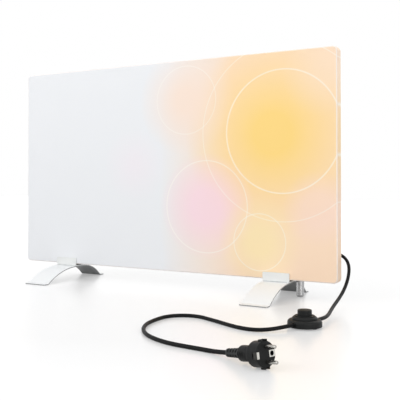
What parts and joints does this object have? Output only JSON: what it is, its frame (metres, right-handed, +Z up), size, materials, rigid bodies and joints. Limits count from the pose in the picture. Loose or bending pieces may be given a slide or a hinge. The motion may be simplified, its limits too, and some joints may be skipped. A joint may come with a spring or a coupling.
{
  "type": "infrared foot warmer",
  "caption": "Flat radiant foot-warmer panel on arched strap feet, with a sprung tip-over plunger behind and a mains lead with an in-line foot switch and an earthed plug.",
  "frame": {"origin": "middle of the heater's footprint on the floor, without the lead", "axes": "+X to the viewer's right along the panel, +Y to the back, +Z up; the printed face looks to -Y"},
  "size_m": [0.892, 0.6111, 0.497],
  "materials": {
    "printed_panel": "printed warm coat, satin",
    "white_coat": "white powder coat, satin",
    "zinc_steel": "zinc plate",
    "carbon_film": "carbon-loaded film",
    "copper": "bare copper tape",
    "foil": "bright foil",
    "insulation": "pressed mineral fibre",
    "black_plastic": "moulded, matt",
    "black_gloss": "moulded, satin",
    "white_plastic": "moulded, matt",
    "natural_plastic": "moulded, matt",
    "black_rubber": "soft moulded",
    "black_flex": "smooth sheath",
    "lead_sleeve": "silicone sleeve",
    "core_sleeve": "wire sleeve",
    "satin_aluminium": "satin turned",
    "spring_steel": "drawn wire",
    "nickel": "nickel plate"
  },
  "bodies": {
    "heater": {"front_panel": "printed_panel", "rear_cover": "white_coat", "rear_cover_screws": "zinc_steel", "heating_film": "carbon_film", "busbars": "copper", "reflector_foil": "foil", "insulation_board": "insulation", "thermal_cutout": "black_plastic", "heater_leads": "lead_sleeve", "lead_grommet": "black_rubber", "terminal_box_base": "white_plastic", "terminal_box_lid": "white_plastic", "terminal_box_screws": "zinc_steel", "terminal_block": "natural_plastic", "mains_cores": "core_sleeve", "cord_gland": "black_plastic", "gland_nut": "black_plastic", "tip_guide_bush": "white_plastic", "tip_spring": "spring_steel", "tip_microswitch": "black_plastic", "left_foot_arch": "white_coat", "right_foot_arch": "white_coat", "left_foot_clip": "white_coat", "right_foot_clip": "white_coat", "left_foot_pad": "black_rubber", "right_foot_pad": "black_rubber", "foot_rivets": "zinc_steel", "foot_clamp_screws": "zinc_steel", "flex_panel_side": "black_flex", "flex_plug_side": "black_flex", "switch_pads": "black_rubber", "switch_base": "black_plastic", "switch_housing": "black_gloss", "switch_spring": "spring_steel", "switch_mechanism": "natural_plastic", "switch_bushings": "black_rubber", "switch_screws": "zinc_steel", "plug_boot": "black_rubber", "plug_body": "black_plastic", "plug_pins": "nickel", "plug_earth_strips": "nickel"},
    "button": {"switch_button": "black_gloss"},
    "plunger": {"tip_plunger": "satin_aluminium"}
  },
  "joints": [
    {"name": "button_press", "type": "slide", "parent": "heater", "child": "button", "axis": [0, 0, -1], "range_m": [0, 0.004], "stiffness_N_per_m": 300, "deforming": ["switch_spring"]},
    {"name": "tip_plunger_slide", "type": "slide", "parent": "heater", "child": "plunger", "axis": [0, 0, -1], "range_m": [0, 0.005], "stiffness_N_per_m": 150, "springref_m": 0.012, "deforming": ["tip_spring"]}
  ]
}
